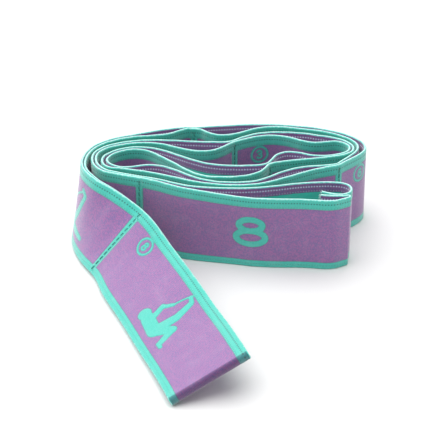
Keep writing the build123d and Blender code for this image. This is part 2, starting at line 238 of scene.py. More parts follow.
def even(low, high, step=STEP):
    """Two edge lines again, with stations evenly spaced along the line midway between them."""
    middle = (low + high) / 2
    run = np.concatenate([[0], np.cumsum(np.linalg.norm(np.diff(middle, axis=0), axis=1))])
    at = np.linspace(0, run[-1], max(3, int(math.ceil(run[-1] / step)) + 1))

    def again(line):
        return np.stack([np.interp(at, run, line[:, k]) for k in range(3)], 1)

    return again(low), again(high), at


def upright(points, start, end):
    """The lower and upper edge of a ribbon that stands on the floor."""
    line, _ = smooth([vec(*p) for p in points], start, end, PER_SPAN)
    return line, line + UP * WIDTH


def arc(centre, radius, first, last, count=14):
    """Points in plan round a centre, from one angle to another in degrees."""
    return [
        (centre[0] + radius * math.cos(a), centre[1] + radius * math.sin(a))
        for a in np.radians(np.linspace(first, last, count))
    ]


def joined(*pieces):
    """Edge lines end to end, without the repeated points."""
    lows, highs = [pieces[0][0]], [pieces[0][1]]
    for low, high in pieces[1:]:
        lows.append(low[1:])
        highs.append(high[1:])
    return np.concatenate(lows), np.concatenate(highs)


def backwards(piece):
    return piece[0][::-1], piece[1][::-1]


# The leaning loops' frames, as in the CAD.
(x_23, y_23), angle_23 = SEAMS["23"]
ahead_23 = heading(angle_23)
start_23 = vec(x_23, y_23) + ahead_23 * (HINGE_OFFSET + HINGE_SETBACK)
seam_station = (*SEAM_12, LAYER_PITCH / 2)
first = ((start_23[0], start_23[1]), (start_23[0], start_23[1], WIDTH), LAYER_PITCH / 2)
stations = [first, *LOOP_2_STATIONS, seam_station, *LOOP_1_STATIONS, (*LOOP_1_END, FOLD_HALF_PITCH)]
SEAM_INDEX = 1 + len(LOOP_2_STATIONS)


def station_frame(index):
    foot = [vec(*low) for low, _, _ in stations]
    up = [unit(vec(*top) - vec(*low)) for low, top, _ in stations]
    middle = [foot[i] + up[i] * (WIDTH / 2) for i in range(len(stations))]
    ahead = unit(middle[min(index + 1, len(stations) - 1)] - middle[max(index - 1, 0)])
    out = unit(np.cross(ahead, up[index]))
    ahead = np.cross(up[index], out)
    rise = (stations[index][2] + CAD_HALF_THICK) * abs(out[2]) + LEAN_CLEARANCE
    return foot[index] + UP * rise, up[index], ahead, out


frames = [station_frame(i) for i in range(len(stations))]
frames[0] = (start_23 + UP * LEAN_CLEARANCE, UP, ahead_23, right_of(ahead_23))
pitches = [s[2] for s in stations]


def moved(frame_there, along):
    foot, up, ahead, out = frame_there
    return foot + vec(ahead[0], ahead[1]) * along, up, ahead, out


def leaning(some_frames, some_pitches, side):
    """The lower and upper edge of a layer of loop 2 or 1."""
    low = [f[0] + f[3] * (side * p) for f, p in zip(some_frames, some_pitches)]
    high = [p + f[1] * WIDTH for p, f in zip(low, some_frames)]
    ends = (some_frames[0][2], some_frames[-1][2])
    level = [unit(vec(e[0], e[1])) for e in ends]
    low_line, _ = smooth(low, *level, PER_SPAN)
    high_line, _ = smooth(high, *ends, PER_SPAN)
    return low_line, high_line


# ---------------------------------------------------------------- woven figures

def curve_through(points, per_span=6):
    """A smooth open line through given points."""
    p = [np.array(q, float) for q in points]
    p = [2 * p[0] - p[1], *p, 2 * p[-1] - p[-2]]
    out = []
    for i in range(1, len(p) - 2):
        for u in np.linspace(0, 1, per_span, endpoint=False):
            out.append(0.5 * (
                2 * p[i] + (p[i + 1] - p[i - 1]) * u
                + (2 * p[i - 1] - 5 * p[i] + 4 * p[i + 1] - p[i + 2]) * u**2
                + (3 * p[i] - 3 * p[i + 1] + p[i + 2] - p[i - 1]) * u**3
            ))
    out.append(p[-2])
    return np.array(out)


def ring(x, y, rx, ry, count=28):
    a = np.linspace(0, 2 * math.pi, count)
    return np.stack([x + rx * np.cos(a), y + ry * np.sin(a)], 1)


DIGITS = {
    1: [np.array([(0.22, 0.78), (0.55, 1.0), (0.55, 0.0)]), np.array([(0.25, 0.0), (0.85, 0.0)])],
    2: [
        curve_through([(0.06, 0.72), (0.18, 0.93), (0.5, 1.0), (0.82, 0.93), (0.92, 0.73), (0.78, 0.5),
                       (0.42, 0.26), (0.06, 0.0)]),
        np.array([(0.06, 0.0), (0.96, 0.0)]),
    ],
    3: [
        curve_through([(0.06, 0.86), (0.28, 1.0), (0.62, 1.0), (0.88, 0.9), (0.88, 0.66), (0.62, 0.54),
                       (0.4, 0.53)]),
        curve_through([(0.4, 0.53), (0.68, 0.52), (0.93, 0.4), (0.93, 0.14), (0.66, 0.0), (0.3, 0.0),
                       (0.04, 0.15)]),
    ],
    4: [np.array([(0.72, 0.0), (0.72, 1.0), (0.04, 0.3), (0.98, 0.3)])],
    5: [
        np.array([(0.88, 1.0), (0.2, 1.0), (0.13, 0.56)]),
        curve_through([(0.13, 0.56), (0.42, 0.63), (0.78, 0.57), (0.94, 0.34), (0.8, 0.08), (0.45, 0.0),
                       (0.08, 0.1)]),
    ],
    6: [
        curve_through([(0.86, 0.9), (0.56, 1.0), (0.24, 0.85), (0.09, 0.5), (0.12, 0.2), (0.36, 0.0),
                       (0.7, 0.0), (0.92, 0.18), (0.9, 0.44), (0.66, 0.59), (0.35, 0.56), (0.12, 0.36)]),
    ],
    7: [np.array([(0.05, 1.0), (0.95, 1.0), (0.38, 0.0)])],
    8: [ring(0.5, 0.77, 0.36, 0.23), ring(0.5, 0.27, 0.45, 0.27)],
}


def line_distance(x, y, line):
    """Distance in millimetres from points to a polyline."""
    best = np.full(x.shape, 1e3)
    for a, b in zip(line, line[1:]):
        d = b - a
        u = np.clip(((x - a[0]) * d[0] + (y - a[1]) * d[1]) / max(d @ d, 1e-9), 0, 1)
        best = np.minimum(best, np.hypot(x - a[0] - u * d[0], y - a[1] - u * d[1]))
    return best


def digit_figure(x, y, digit, centre, size, stroke):
    """How far inside a digit's strokes points are. size is its width and height over its stroke centres."""
    best = np.full(x.shape, -1e3)
    for line in DIGITS[digit]:
        placed = (line - 0.5) * np.array(size) + np.array(centre)
        best = np.maximum(best, stroke / 2 - line_distance(x, y, placed))
    return best


def capsule(x, y, a, b, wide_a, wide_b):
    """How far inside a limb that tapers from one half width to another."""
    a, b = np.array(a, float), np.array(b, float)
    d = b - a
    u = np.clip(((x - a[0]) * d[0] + (y - a[1]) * d[1]) / max(d @ d, 1e-9), 0, 1)
    return wide_a + (wide_b - wide_a) * u - np.hypot(x - a[0] - u * d[0], y - a[1] - u * d[1])


# Exercise drawings: head, then limbs (from, to, half widths), then the strap that is held.
# Origin at the middle of the drawing, x along the band and y up it, millimetres.
DRAWING_SCALE = 1.16
STRAP_HALF = 0.5
ITEM_REACH = {"big": 16, "small": 7, "drawing": 24}
POSES = [
    # Lying on the back with one leg raised in the strap.
    {
        "head": (-12.6, -8.2, 2.5),
        "limbs": [((-9.4, -8.6), (1.2, -9.2), 2.3, 2.6), ((1.2, -9.4), (8.2, -9.4), 2.2, 1.6),
                  ((8.2, -9.4), (14.2, -9.8), 1.5, 1.1), ((1.0, -8.4), (5.6, -0.8), 2.3, 1.6),
                  ((5.6, -0.8), (8.6, 7.4), 1.5, 1.1), ((8.4, 7.8), (5.9, 9.6), 1.1, 0.9),
                  ((-8.8, -7.4), (-6.2, -2.2), 1.3, 1.0), ((-6.2, -2.2), (-2.6, 1.6), 1.0, 0.8)],
        "strap": [(-2.6, 1.6), (2.0, 6.0), (7.4, 9.4)],
    },
    # Lying on the back with one knee bent and the other leg stretched up in the strap.
    {
        "head": (-8.6, -7.0, 3.1),
        "limbs": [((-5.4, -7.0), (3.6, -7.6), 3.0, 3.1), ((3.8, -8.0), (8.8, -1.2), 2.6, 2.0),
                  ((8.8, -1.4), (12.0, -8.0), 1.9, 1.4), ((11.9, -8.8), (14.3, -8.9), 1.1, 0.9),
                  ((3.4, -6.6), (3.8, 2.6), 2.7, 2.1), ((3.8, 2.6), (1.5, 10.2), 2.0, 1.4),
                  ((1.3, 10.8), (-1.7, 11.8), 1.1, 0.9), ((-4.0, -5.2), (-6.4, 0.6), 1.6, 1.3),
                  ((-6.2, 0.4), (-3.6, 4.6), 1.1, 0.9)],
        "strap": [(-3.6, 4.6), (-2.9, 8.6), (-1.6, 12.6)],
    },
    # Standing with the strap held overhead.
    {
        "head": (0.2, 5.2, 2.4),
        "limbs": [((0.0, 1.4), (-0.2, -4.6), 2.4, 2.1), ((-0.8, -5.2), (-4.4, -9.6), 1.8, 1.3),
                  ((-4.4, -9.6), (-5.2, -12.6), 1.2, 0.9), ((0.6, -5.2), (4.6, -9.2), 1.8, 1.3),
                  ((4.6, -9.2), (6.2, -12.6), 1.2, 0.9), ((-1.6, 2.2), (-6.6, 5.6), 1.2, 1.0),
                  ((-6.6, 5.6), (-9.8, 10.0), 1.0, 0.8), ((1.8, 2.2), (7.0, 5.4), 1.2, 1.0),
                  ((7.0, 5.4), (10.4, 9.8), 1.0, 0.8)],
        "strap": [(-9.8, 10.0), (-4.0, 11.6), (4.0, 11.6), (10.4, 9.8)],
    },
    # Kneeling on one knee with the other leg out.
    {
        "head": (-4.6, 8.4, 2.4),
        "limbs": [((-5.2, 4.4), (-6.0, -2.2), 2.3, 2.4), ((-6.0, -3.0), (-7.4, -9.6), 2.1, 1.5),
                  ((-7.4, -10.0), (-13.2, -10.8), 1.4, 1.0), ((-5.2, -3.2), (3.0, -4.6), 2.0, 1.6),
                  ((3.0, -4.6), (9.8, -9.6), 1.5, 1.1), ((9.8, -9.8), (12.6, -8.2), 1.1, 0.9),
                  ((-4.4, 3.2), (1.2, 1.0), 1.2, 1.0), ((1.2, 1.0), (5.4, 0.6), 1.0, 0.8)],
        "strap": [(5.4, 0.6), (9.4, -2.4), (12.8, -7.4)],
    },
]


def drawing_figure(x, y, pose):
    head = pose["head"]
    best = head[2] - np.hypot(x - head[0], y - head[1])
    for a, b, wide_a, wide_b in pose["limbs"]:
        best = np.maximum(best, capsule(x, y, a, b, wide_a, wide_b))
    return np.maximum(best, STRAP_HALF - line_distance(x, y, curve_through(pose["strap"])))


def figures(t, v, items, seams):
    """How far inside the woven figure points are: borders, seam stripes and the items listed."""
    best = np.maximum(LOW_BORDER - v, v - (WIDTH - HIGH_BORDER))
    for seam in seams:
        best = np.maximum(best, STRIPE_HALF - np.abs(t - seam))
    for kind, value, at in items:
        near = np.abs(t - at) < ITEM_REACH[kind]
        x, y = t[near], v[near]
        if kind == "big":
            shape = digit_figure(x, y, value, (at, BIG_DIGIT_AT), BIG_DIGIT_SIZE, BIG_DIGIT_STROKE)
        elif kind == "small":
            circle = RING_HALF_STROKE - np.abs(np.hypot(x - at, y - SMALL_DIGIT_AT) - RING_RADIUS)
            inner = digit_figure(x, y, value, (at, SMALL_DIGIT_AT), SMALL_DIGIT_SIZE, SMALL_DIGIT_STROKE)
            shape = np.maximum(circle, inner)
        else:
            x, y = (x - at) / DRAWING_SCALE, (y - DRAWING_AT) / DRAWING_SCALE
            shape = drawing_figure(x, y, POSES[value]) * DRAWING_SCALE
        best[near] = np.maximum(best[near], shape)
    return np.clip(best, -FIGURE_LIMIT, FIGURE_LIMIT)


# ---------------------------------------------------------------- ribbons

OUTSIDE, INSIDE, SELVEDGE, CUT = 0, 1, 2, 3        # material slots
EDGE_HEIGHTS = np.array([0.5, 0.8, 1.1, 1.35])
EDGE_BAND = 1.6
EDGE_ANGLES = np.radians([-60, -30, 0, 30, 60])
EDGE_SHARE = 0.92
GROOVE_AT, GROOVE_HALF, GROOVE_DEPTH = 1.45, 0.28, 0.10
OUTLINE_HALF, OUTLINE_DEPTH = 0.32, 0.07
FIGURE_RISE = 0.05
EDGE_THINNING = 0.12
RIPPLE = 0.07               # slow unevenness of the band, out of its surface and of its upper edge
EDGE_WANDER = 0.10
SLACK_LENGTH = 8.0          # over which that unevenness grows from the band's ends


def columns(gap):
    """Heights across the band, closer together at its edges."""
    inner = np.linspace(EDGE_BAND, WIDTH - EDGE_BAND, int((WIDTH - 2 * EDGE_BAND) / gap) + 1)
    return np.concatenate([EDGE_HEIGHTS, inner, WIDTH - EDGE_HEIGHTS[::-1]])


OUTER = columns(0.6)
INNER = columns(0.85)


def section():
    """Height, kind and side of each point round the band's cross section."""
    top = WIDTH - EDGE_RADIUS + EDGE_RADIUS * np.cos(EDGE_ANGLES)
    bottom = EDGE_RADIUS - EDGE_RADIUS * np.cos(EDGE_ANGLES)
    turn = len(EDGE_ANGLES)
    heights = np.concatenate([OUTER, top, INNER[::-1], bottom])
    kinds = np.repeat([OUTSIDE, SELVEDGE, INSIDE, SELVEDGE], [len(OUTER), turn, len(INNER), turn])
    side = np.concatenate([
        np.ones(len(OUTER)), -np.sin(EDGE_ANGLES), -np.ones(len(INNER)), np.sin(EDGE_ANGLES)
    ])
    return heights, kinds, side


def surface_height(v, figure):
    """How far the woven surface stands from the band's middle."""
    edge = np.minimum(v, WIDTH - v)
    height = np.full(v.shape, HALF_THICK)
    height -= GROOVE_DEPTH * np.exp(-(((edge - GROOVE_AT) / GROOVE_HALF) ** 2))
    height -= OUTLINE_DEPTH * np.exp(-((figure / OUTLINE_HALF) ** 2))
    height += FIGURE_RISE * np.clip(figure / 0.6, 0, 1)
    return height - EDGE_THINNING * np.clip((0.9 - edge) / 0.6, 0, 1) ** 2


def puckers(t, v, seams, seed):
    """The outer surface draws up into small ripples beside each seam."""
    rng = np.random.default_rng(seed + 7000)
    total = np.zeros_like(t)
    for seam in seams:
        away = np.abs(t - seam) - STRIPE_HALF
        fade = np.where(away > 0, np.exp(-away / PUCKER_REACH) * np.clip(away / 0.8, 0, 1), 0.0)
        phase = rng.uniform(0, 2 * math.pi)
        wave = np.sin(2 * math.pi * (v + 0.35 * (t - seam)) / PUCKER_PITCH + phase)
        total += PUCKER_HEIGHT * fade * wave * np.clip(np.minimum(v, WIDTH - v) / 3.0, 0, 1)
    return total


def wander(at, seed):
    """A slow random line, the same every run."""
    rng = np.random.default_rng(seed)
    total = np.zeros_like(at)
    for length in (9.0, 17.0, 31.0):
        total += rng.uniform(0.4, 1.0) * np.sin(2 * math.pi * (at / length + rng.uniform()))
    return total / 3


def ribbon_points(low, high, at, figure, seams, seed):
    """Where the points round each station of a ribbon are."""
    heights, kinds, side = section()
    up = unit(high - low)
    low_out = unit(np.cross(unit(np.gradient(low, axis=0)), up))
    high_out = unit(np.cross(unit(np.gradient(high, axis=0)), up))
    tt, vv = np.meshgrid(at, heights, indexing="ij")
    height = surface_height(vv, figure)
    height = height + np.where(kinds == OUTSIDE, puckers(tt, vv, seams, seed), 0.0)
    offset = np.where(kinds == SELVEDGE, side * (HALF_THICK - 0.06) * EDGE_SHARE, side * height)
    share = vv / WIDTH
    normal = unit(low_out[:, None] * (1 - share[..., None]) + high_out[:, None] * share[..., None])
    slack = np.minimum(1.0, np.minimum(at, at[-1] - at) / SLACK_LENGTH)[:, None]
    ripple = RIPPLE * slack * (
        wander(at, seed)[:, None] * (1 - share) + wander(at, seed + 500)[:, None] * share
    )
    lift = EDGE_WANDER * slack * wander(at, seed + 900)[:, None] * (share - 0.5) * 2
    return (
        low[:, None] + up[:, None] * (vv + lift * (share > 0.5))[..., None]
        + normal * (offset + ripple)[..., None]
    )


def end_cap(around):
    """Strips of triangles between the matching outer and inner points of a ribbon's end."""
    faces = []
    a, b = 0, len(around) - 1
    while b - a > 1:
        if (a % 2 == 0 and b - 1 > a) or b - a == 2:
            faces.append([around[a], around[a + 1], around[b]])
            a += 1
        else:
            faces.append([around[a], around[b - 1], around[b]])
            b -= 1
    return faces


def store(mesh, name, kind, values):
    """Keeps a value for every point of a mesh, for its material to read."""
    attribute = mesh.attributes.new(name, kind, "POINT")
    field = "value" if kind == "FLOAT" else "vector"
    attribute.data.foreach_set(field, values.reshape(-1).astype(np.float32))


def ribbon(name, edges, items, seams, seed=0, fold_shade_at=None):
    """A woven band between two edge lines, closed all round, with its figure stored at every point."""
    low, high, at = even(*edges)
    heights, kinds, _ = section()
    tt, vv = np.meshgrid(at, heights, indexing="ij")
    figure = figures(tt, vv, items, seams)
    place = ribbon_points(low, high, at, figure, seams, seed)
    rows, cols = vv.shape
    index = np.arange(rows * cols).reshape(rows, cols)
    right = np.roll(index, -1, axis=1)
    quads = np.stack([index[:-1], index[1:], right[1:], right[:-1]], -1).reshape(-1, 4)
    kind_pair = np.where(kinds == np.roll(kinds, -1), kinds, SELVEDGE)
    caps = end_cap(index[0].tolist()) + [face[::-1] for face in end_cap(index[-1].tolist())]
    faces = quads.tolist() + caps
    slots = np.concatenate([np.tile(kind_pair, rows - 1), np.full(len(caps), CUT)])
    mesh = bpy.data.meshes.new(name)
    mesh.from_pydata(((place.reshape(-1, 3) + SHIFT) * MM).tolist(), [], faces)
    for surface in ("outside", "inside", "selvedge", "cut"):
        mesh.materials.append(materials[surface])
    mesh.polygons.foreach_set("material_index", slots.astype(np.int32))
    mesh.polygons.foreach_set("use_smooth", np.ones(len(faces), bool))
    # A mask of painted shade along the band, full on the end fold's pressed front.
    fold_shade = np.zeros_like(tt)
    if fold_shade_at is not None:
        fold_shade = np.clip((FOLD_SHADE_HALF + 0.35 - np.abs(tt - fold_shade_at)) / 0.5, 0, 1)
    store(mesh, "figure", "FLOAT", figure)
    store(mesh, "weave", "FLOAT_VECTOR", np.stack([tt, vv, np.full(vv.shape, float(seed))], -1))
    store(mesh, "fold_shade", "FLOAT", fold_shade)
    uv = mesh.uv_layers.new(name="band")
    corners = np.zeros(len(mesh.loops), np.int32)
    mesh.loops.foreach_get("vertex_index", corners)
    flat = np.stack([tt, vv], -1).reshape(-1, 2) * MM
    uv.data.foreach_set("uv", flat[corners].reshape(-1).astype(np.float32))
    mesh.update()
    obj = bpy.data.objects.new(name, mesh)
    bpy.context.collection.objects.link(obj)
    return obj


# ---------------------------------------------------------------- materials

def shader(name):
    material = bpy.data.materials.new(name)
    material.use_nodes = True
    tree = material.node_tree
    principled = next(n for n in tree.nodes if n.type == "BSDF_PRINCIPLED")
    return material, tree, principled


def node(tree, kind, inputs=(), **settings):
    made = tree.nodes.new(kind)
    for key, value in settings.items():
        setattr(made, key, value)
    for key, value in dict(inputs).items():
        if isinstance(value, bpy.types.NodeSocket):
            tree.links.new(value, made.inputs[key])
        else:
            made.inputs[key].default_value = value
    return made


def calc(tree, operation, a, b=0.0, c=0.0):
    return node(tree, "ShaderNodeMath", {0: a, 1: b, 2: c}, operation=operation).outputs[0]


def times(tree, a, b):
    return calc(tree, "MULTIPLY", a, b)


def minus(tree, a, b):
    return calc(tree, "SUBTRACT", a, b)


def rounded(tree, value):
    """0 at whole numbers and 1 midway between them, as the round backs of cords in a row."""
    return calc(tree, "ABSOLUTE", calc(tree, "SINE", times(tree, value, math.pi)))


def mix(tree, factor, a, b, blend="MIX"):
    made = tree.nodes.new("ShaderNodeMix")
    made.data_type = "RGBA"
    made.blend_type = blend
    for key, value in ((0, factor), (6, a), (7, b)):
        if isinstance(value, bpy.types.NodeSocket):
            tree.links.new(value, made.inputs[key])
        else:
            made.inputs[key].default_value = value
    return made.outputs[2]


def ramp(tree, value, low, high):
    """0 below low, 1 above high, smooth between."""
    return node(
        tree, "ShaderNodeMapRange", {"Value": value, "From Min": low, "From Max": high},
        interpolation_type="SMOOTHSTEP",
    ).outputs[0]


def noise(tree, place, scale, detail, roughness):
    settings = {"Vector": place, "Scale": scale, "Detail": detail, "Roughness": roughness}
    return node(tree, "ShaderNodeTexNoise", settings).outputs[0]


def finish(tree, principled, base, roughness, height, strength, distance):
    """Joins a material's colour, roughness and relief to its shader."""
    tree.links.new(base, principled.inputs["Base Color"])
    tree.links.new(roughness, principled.inputs["Roughness"])
    bump = node(tree, "ShaderNodeBump", {"Height": height, "Strength": strength, "Distance": distance})
    tree.links.new(bump.outputs[0], principled.inputs["Normal"])


def band_place(tree):
    """Where a point is on the flat band: its place along and across it, and the ribbon's own number."""
    place = node(tree, "ShaderNodeAttribute", attribute_name="weave").outputs["Vector"]
    return place, node(tree, "ShaderNodeSeparateXYZ", {0: place}).outputs


PURPLE = (0.275, 0.140, 0.345, 1)
PURPLE_PINK = (0.440, 0.150, 0.385, 1)
PURPLE_BLUE = (0.165, 0.135, 0.350, 1)
PURPLE_DARK = (0.070, 0.026, 0.115, 1)
MINT = (0.035, 0.480, 0.390, 1)
# A brighter, more saturated copy of MINT for the band's inside faces: painted bounce light inside the coil.
MINT_INSIDE_PAINTED_BOUNCE = (0.020, 0.680, 0.530, 1)
MINT_LIGHT = (0.080, 0.590, 0.500, 1)
MINT_DEEP = (0.025, 0.350, 0.280, 1)
MINT_DARK = (0.015, 0.190, 0.160, 1)
CREASE_SHADE = (0.300, 0.240, 0.360, 1)
DOT_PALE = (0.560, 0.640, 0.800, 1)
HANDLED = (0.750, 0.720, 0.800, 1)
SELVEDGE_WORN = (0.750, 0.950, 0.900, 1)
# The selvedge's painted highlight along the crest of the upper edge.
CREST_HIGHLIGHT = (0.640, 0.900, 0.890, 1)


CORD_PITCH = 0.62           # between warp cords, across the band
PICK_PITCH = 0.5            # between weft picks, along it
DOT_PITCH = 1.35
DOT_ROWS = ((37.7, 0.44, 1.0), (35.3, 0.36, 0.45), (2.1, 0.38, 0.35))    # height, radius, strength


def stitch_grid(tree, t, v, ribbon_number):
    """How far each stitch of the weave stands up, and a random number for each."""
    cords = calc(tree, "DIVIDE", v, CORD_PITCH)
    cord_number = calc(tree, "FLOOR", cords)
    # Picks are half a step out from one cord to the next.
    picks = calc(tree, "ADD", calc(tree, "DIVIDE", t, PICK_PITCH), times(tree, cord_number, 0.5))
    pick_number = calc(tree, "FLOOR", picks)
    cord_round = calc(tree, "POWER", rounded(tree, cords), 0.5)
    pick_round = calc(tree, "POWER", rounded(tree, picks), 0.4)
    cell = node(tree, "ShaderNodeCombineXYZ", {0: pick_number, 1: cord_number, 2: ribbon_number}).outputs[0]
    random = node(tree, "ShaderNodeTexWhiteNoise", {"Vector": cell}, noise_dimensions="3D")
    return times(tree, cord_round, pick_round), random.outputs["Value"]


def rows_of_dots(tree, t, v):
    """1 inside the dots of the rows along the band's borders, and 0 between them."""
    column = minus(tree, calc(tree, "FRACT", calc(tree, "DIVIDE", t, DOT_PITCH)), 0.5)
    across = times(tree, column, DOT_PITCH)
    dots = None
    for height, radius, strength in DOT_ROWS:
        above = calc(tree, "POWER", calc(tree, "ABSOLUTE", minus(tree, v, height)), 2.0)
        far = calc(tree, "SQRT", calc(tree, "ADD", times(tree, across, across), above))
        dot = times(tree, minus(tree, 1.0, ramp(tree, far, radius * 0.6, radius * 1.2)), strength)
        dots = dot if dots is None else calc(tree, "MAXIMUM", dots, dot)
    return dots


def purple_yarn(tree, random, speck, gaps):
    """Pink and blue-purple yarns, mixed stitch by stitch and in fine specks, with painted shade darkening
    the gaps between stitches.
    """
    yarns = mix(tree, 0.25, mix(tree, random, PURPLE_BLUE, PURPLE_PINK), PURPLE)
    specks = mix(tree, ramp(tree, speck, 0.44, 0.57), PURPLE_BLUE, PURPLE_PINK)
    return mix(tree, times(tree, gaps, 0.55), mix(tree, 0.45, yarns, specks), PURPLE_DARK)


def mint_yarn(tree, random, gaps, plain):
    # Paler at random stitch by stitch, with painted shade darkening the gaps between stitches.
    yarns = mix(tree, times(tree, random, 0.5), plain, MINT_LIGHT)
    return mix(tree, times(tree, gaps, 0.45), yarns, MINT_DEEP)


def woven(name, inverted):
    """The two-colour weave: mint figures on purple outside, and the same in purple on mint inside."""
    material, tree, principled = shader(name)
    place, (t, v, ribbon_number) = band_place(tree)
    figure = node(tree, "ShaderNodeAttribute", attribute_name="figure").outputs["Fac"]
    stitch, random = stitch_grid(tree, t, v, ribbon_number)
    gaps = minus(tree, 1.0, stitch)
    coarse = noise(tree, place, 0.16, 3.0, 0.6)
    speck = noise(tree, place, 1.45, 2.0, 0.6)
    # The figure's edge steps from one stitch to the next.
    stepped = calc(tree, "ADD", figure, times(tree, minus(tree, random, 0.5), 0.16))
    inside = ramp(tree, stepped, -0.10, 0.10)
    outline = minus(tree, 1.0, ramp(tree, calc(tree, "ABSOLUTE", stepped), 0.05, 0.38))
    purple = purple_yarn(tree, random, speck, gaps)
    # The inside faces use the brighter mint copy, painted bounce light inside the coil.
    mint = mint_yarn(tree, random, gaps, MINT_INSIDE_PAINTED_BOUNCE if inverted else MINT)
    dots = rows_of_dots(tree, t, v)
    if inverted:
        base = mix(tree, inside, mint, purple)
        base = mix(tree, dots, base, DOT_PALE)
        base = mix(tree, times(tree, outline, 0.35), base, PURPLE_DARK)
    else:
        base = mix(tree, inside, purple, mint)
        base = mix(tree, dots, base, MINT_DARK)
        base = mix(tree, times(tree, outline, 0.5), base, MINT_DARK)
    # The pressed front of the end fold is darkened with painted shade, as it faces away from the light
    # overhead.
    fold_shade = node(tree, "ShaderNodeAttribute", attribute_name="fold_shade").outputs["Fac"]
    base = mix(tree, times(tree, fold_shade, 0.85), base, mix(tree, 1.0, base, CREASE_SHADE, "MULTIPLY"))
    # Handling leaves slightly paler patches.
    base = mix(tree, times(tree, ramp(tree, coarse, 0.45, 0.8), 0.05), base, HANDLED)
    height = calc(tree, "MULTIPLY_ADD", stitch, 0.7, times(tree, random, 0.12))
    height = minus(tree, height, times(tree, outline, 0.6))
    height = minus(tree, height, times(tree, dots, 0.5))
    fuzz = calc(tree, "MULTIPLY_ADD", speck, 0.2, 0.72)
    finish(tree, principled, base, fuzz, height, 0.75, 0.00012)
    principled.inputs["Specular IOR Level"].default_value = 0.22
    principled.inputs["Sheen Weight"].default_value = 0.72
    principled.inputs["Sheen Roughness"].default_value = 0.52
    principled.inputs["Sheen Tint"].default_value = (0.97, 0.95, 0.97, 1)
    return material


def edging(name, light, dark):
    """The band's rounded selvedge, bound by the weft as it turns back, with painted shade between the weft's
    beads. Its crest along the top carries a painted highlight.
    """
    material, tree, principled = shader(name)
    place, (t, v, _) = band_place(tree)
    bead = rounded(tree, calc(tree, "DIVIDE", t, PICK_PITCH))
    worn = noise(tree, place, 0.9, 3.0, 0.7)
    # A painted highlight on the crest of the upper edge, which faces the light from above.
    crest = ramp(tree, v, WIDTH - 0.16, WIDTH - 0.05)
    base = mix(tree, calc(tree, "POWER", bead, 0.6), dark, mix(tree, crest, MINT_LIGHT, light))
    base = mix(tree, ramp(tree, worn, 0.4, 0.75), base, mix(tree, 0.5, base, SELVEDGE_WORN))
    finish(tree, principled, base, calc(tree, "MULTIPLY_ADD", worn, 0.25, 0.6), bead, 0.7, 0.00015)
    principled.inputs["Specular IOR Level"].default_value = 0.3
    principled.inputs["Sheen Weight"].default_value = 0.25
    principled.inputs["Sheen Roughness"].default_value = 0.5
    return material


def yarn(name, light, dark, scale):
    """Twisted yarn or cut fibre ends."""
    material, tree, principled = shader(name)
    place = node(tree, "ShaderNodeTexCoord").outputs["Object"]
    fluff = noise(tree, place, scale, 4.0, 0.7)
    waves = node(
        tree, "ShaderNodeTexWave", {"Vector": place, "Scale": scale * 0.8, "Distortion": 3.0, "Detail": 2.0},
        bands_direction="DIAGONAL",
    ).outputs[1]
    base = mix(tree, ramp(tree, fluff, 0.3, 0.7), dark, light)
    base = mix(tree, times(tree, waves, 0.35), base, dark)
    finish(tree, principled, base, calc(tree, "MULTIPLY_ADD", fluff, 0.25, 0.55), waves, 0.6, 0.00006)
    principled.inputs["Specular IOR Level"].default_value = 0.35
    principled.inputs["Sheen Weight"].default_value = 0.2
    return material


materials = {
    "outside": woven("weave_outside", False),
    "inside": woven("weave_inside", True),
    "selvedge": edging("weave_selvedge", CREST_HIGHLIGHT, MINT),
    "cut": yarn("cut_fibres", (0.74, 0.86, 0.85, 1), (0.34, 0.50, 0.52, 1), 900.0),
    "thread": yarn("sewing_thread", (0.045, 0.330, 0.270, 1), (0.008, 0.110, 0.095, 1), 1500.0),
}


# ---------------------------------------------------------------- the band, loop by loop

def finish_ribbon(obj, body, nodes):
    """Hides the CAD parts that a ribbon replaces and hangs the ribbon under its body. body is a body's name,
    or the two bodies that it would be blended between; then the ribbon is only left in place, with no blend
    set up.
    """
    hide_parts(*nodes)
    if isinstance(body, str):
        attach(obj, body)
    else:
        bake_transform(obj)


def at_frame(point):
    """A point of the plan in the row frame, in metres."""
    return tuple((np.asarray(point, float) + SHIFT) * MM)


ONE, OTHER = 1, -1
# Places of single figures along their ribbons.
DRAWING_1_AT, DRAWING_2_AT, NUMBER_8_AT = 63.5, 77.0, 55.6
for loop in range(3, 8):
    start_seam, end_seam = f"{loop}{loop + 1}", f"{loop - 1}{loop}"
    before = HINGE_OFFSET - HINGE_SETBACK if loop == 7 else 0.0
    after = HINGE_OFFSET - HINGE_SETBACK if loop == 3 else 0.0
    for layer, side in (("face", ONE), ("number", OTHER)):
        name = f"loop_{loop}_{layer}"
        edges = upright(
            [seam_point(start_seam, side, -before), *ROUTES[name], seam_point(end_seam, side, after)],
            heading(SEAMS[start_seam][1]), heading(SEAMS[end_seam][1]),
        )
        length = even(*edges)[2][-1]
        if side == ONE:
            digit_at = before + DIGIT_FROM_SEAM[loop]
            items = [("small", 9 - loop, digit_at), ("drawing", loop % 4, length / 2 + 4)]
            seams = [before, length - after]
        else:
            edges = backwards(edges)
            items = [("big", loop, length / 2)]
            seams = [after, length - before]
        piece = ribbon(f"{name}_weave", edges, items, seams, seed=10 * loop + side)
        finish_ribbon(piece, "coil", [name])

# Loop 8: both layers run from seam 78 to the hem that is sewn inside the loop.
bend_78 = -HINGE_OFFSET + HINGE_SETBACK
corner = vec(*CORNER_MIDDLE)
corner_ahead = heading(CORNER_HEADING)
corner_reach = right_of(corner_ahead) * CORNER_RADIUS
closing_ahead = heading(CLOSING_HEADING)
ahead_78 = heading(SEAMS["78"][1])
blend_78 = ("coil", "loop_8", at_frame(seam_point("78", 0, -0.3) + vec(0, 0, 20)),
            at_frame(seam_point("78", 0, -4.2) + vec(0, 0, 20)))


